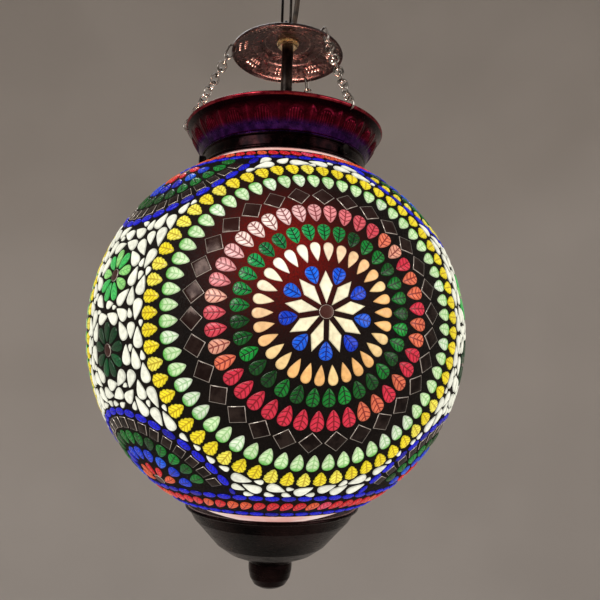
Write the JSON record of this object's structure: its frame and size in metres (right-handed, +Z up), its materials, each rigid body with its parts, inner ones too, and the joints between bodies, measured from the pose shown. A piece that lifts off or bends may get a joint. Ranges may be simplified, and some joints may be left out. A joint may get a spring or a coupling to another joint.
{
  "type": "mosaic glass hanging lantern",
  "caption": "Hanging globe lantern of mosaic glass on a ceiling chain, with a smoke bell, flared collar, side chains and a bottom cup.",
  "frame": {"origin": "centre of the crossbar's top face, on the ceiling and on the axis of the two ceiling screws", "axes": "+Z up along the lantern's axis, away from the room; +X along the crossbar; the globe's front medallion faces -Y"},
  "size_m": [0.3009, 0.3011, 0.6039],
  "materials": {
    "blackened_steel": "satin black, worn to grey on the edges",
    "antique_bronze": "antique copper bronze, satin",
    "collar_maroon": "dark maroon lacquer over embossed sheet",
    "cup_bronze": "dark antique bronze, polished lip",
    "bright_brass": "polished brass",
    "chain_nickel": "nickel plated wire",
    "cable_sheath": "brown grey flexible sheath",
    "wire_insulation": "smooth insulation",
    "porcelain": "glazed white",
    "lamp_aluminium": "rolled thread",
    "lamp_glass": "clear blown glass",
    "black_glass": "black insulating glass",
    "filament_wire": "glowing coil",
    "globe_glass": "frosted clear glass",
    "grout": "matte black grout",
    "mirror_tile": "cut mirror with bright edges",
    "cream_tile": "opal glass",
    "amber_tile": "opal glass",
    "blue_tile": "ribbed cobalt glass",
    "green_tile": "ribbed green glass",
    "red_tile": "ribbed red glass",
    "pale_green_tile": "ribbed pale green glass",
    "yellow_tile": "ribbed yellow glass",
    "white_tile": "opal glass",
    "light_green_tile": "ribbed light green glass",
    "dark_green_tile": "ribbed dark green glass"
  },
  "bodies": {
    "ceiling_mount": {"crossbar": "blackened_steel", "threaded_nipple": "bright_brass", "nipple_nut": "bright_brass", "ceiling_loop": "blackened_steel"},
    "canopy": {"ceiling_canopy": "antique_bronze", "canopy_ring": "antique_bronze"},
    "chain": {"chain_link_1": "blackened_steel", "chain_link_2": "blackened_steel", "chain_link_3": "blackened_steel", "supply_cable": "cable_sheath"},
    "lantern": {"lantern_loop": "blackened_steel", "stem_tube": "blackened_steel", "stem_top_nut": "blackened_steel", "smoke_bell": "antique_bronze", "bell_washer": "bright_brass", "stem_lower_nut": "bright_brass", "lead_wires": "wire_insulation", "lampholder_cap": "cup_bronze", "lampholder_sleeve": "cup_bronze", "holder_insulator": "porcelain", "thread_shell": "bright_brass", "centre_contact": "bright_brass"},
    "lamp": {"lamp_cap": "lamp_aluminium", "lamp_insulator": "black_glass", "lamp_tip_contact": "bright_brass", "lamp_envelope": "lamp_glass", "lamp_mount": "lamp_glass", "lamp_filament": "filament_wire"},
    "globe": {"collar": "collar_maroon", "neck_screws": "blackened_steel", "globe_glass": "globe_glass", "grout_bed": "grout", "bottom_cup": "cup_bronze", "finial_knob": "cup_bronze", "cup_stud": "bright_brass", "cup_washer": "bright_brass", "cup_nut": "bright_brass", "mirror_discs": "mirror_tile", "mirror_squares": "mirror_tile", "cream_petals": "cream_tile", "cream_drops": "amber_tile", "blue_leaves": "blue_tile", "blue_ovals": "blue_tile", "green_leaves": "green_tile", "red_leaves": "red_tile", "pale_leaves": "pale_green_tile", "yellow_leaves": "yellow_tile", "white_drops": "white_tile", "light_flower_petals": "light_green_tile", "dark_flower_petals": "dark_green_tile"},
    "side_chain_1": {"top_hook_1": "chain_nickel", "side_chain_1": "chain_nickel", "bottom_hook_1": "chain_nickel"},
    "side_chain_2": {"top_hook_2": "chain_nickel", "side_chain_2": "chain_nickel", "bottom_hook_2": "chain_nickel"},
    "side_chain_3": {"top_hook_3": "chain_nickel", "side_chain_3": "chain_nickel", "bottom_hook_3": "chain_nickel"}
  },
  "joints": [
    {"name": "canopy_drop", "type": "slide", "parent": "ceiling_mount", "child": "canopy", "axis": [0, 0, -1], "range_m": [0, 0.02]},
    {"name": "chain_swing", "type": "hinge", "parent": "ceiling_mount", "child": "chain", "pos_m": [-0.002, 0, -0.0359], "axis": [0, 1, 0], "range_deg": [-10, 10], "deforming": ["supply_cable"]},
    {"name": "lantern_swing", "type": "hinge", "parent": "chain", "child": "lantern", "pos_m": [-0.002, 0, -0.1296], "axis": [1, 0, 0], "range_deg": [-12, 12], "deforming": ["supply_cable"]},
    {"name": "lamp_turn", "type": "hinge", "parent": "lantern", "child": "lamp", "pos_m": [0, 0, -0.27285], "axis": [0, 0, -1], "range_deg": [0, 1080]},
    {"name": "globe_twist", "type": "hinge", "parent": "lantern", "child": "globe", "pos_m": [0, 0, -0.40285], "axis": [0, 0, 1], "range_deg": [-5, 5], "stiffness_Nm_per_rad": 1.4},
    {"name": "side_chain_1_tilt", "type": "hinge", "parent": "lantern", "child": "side_chain_1", "pos_m": [0.02841, -0.0377, -0.15385], "axis": [0.5485, -0.7279, 0.4113], "range_deg": [-5, 5]},
    {"name": "side_chain_2_tilt", "type": "hinge", "parent": "lantern", "child": "side_chain_2", "pos_m": [0.01844, 0.04345, -0.15385], "axis": [0.3561, 0.839, 0.4113], "range_deg": [-5, 5]},
    {"name": "side_chain_3_tilt", "type": "hinge", "parent": "lantern", "child": "side_chain_3", "pos_m": [-0.04685, -0.00575, -0.15385], "axis": [-0.9047, -0.1111, 0.4113], "range_deg": [-5, 5]}
  ],
  "couplings": [
    {"joint": "side_chain_1_tilt", "follows": "globe_twist", "ratio": 0.94664},
    {"joint": "side_chain_2_tilt", "follows": "globe_twist", "ratio": 0.94664},
    {"joint": "side_chain_3_tilt", "follows": "globe_twist", "ratio": 0.94664}
  ]
}
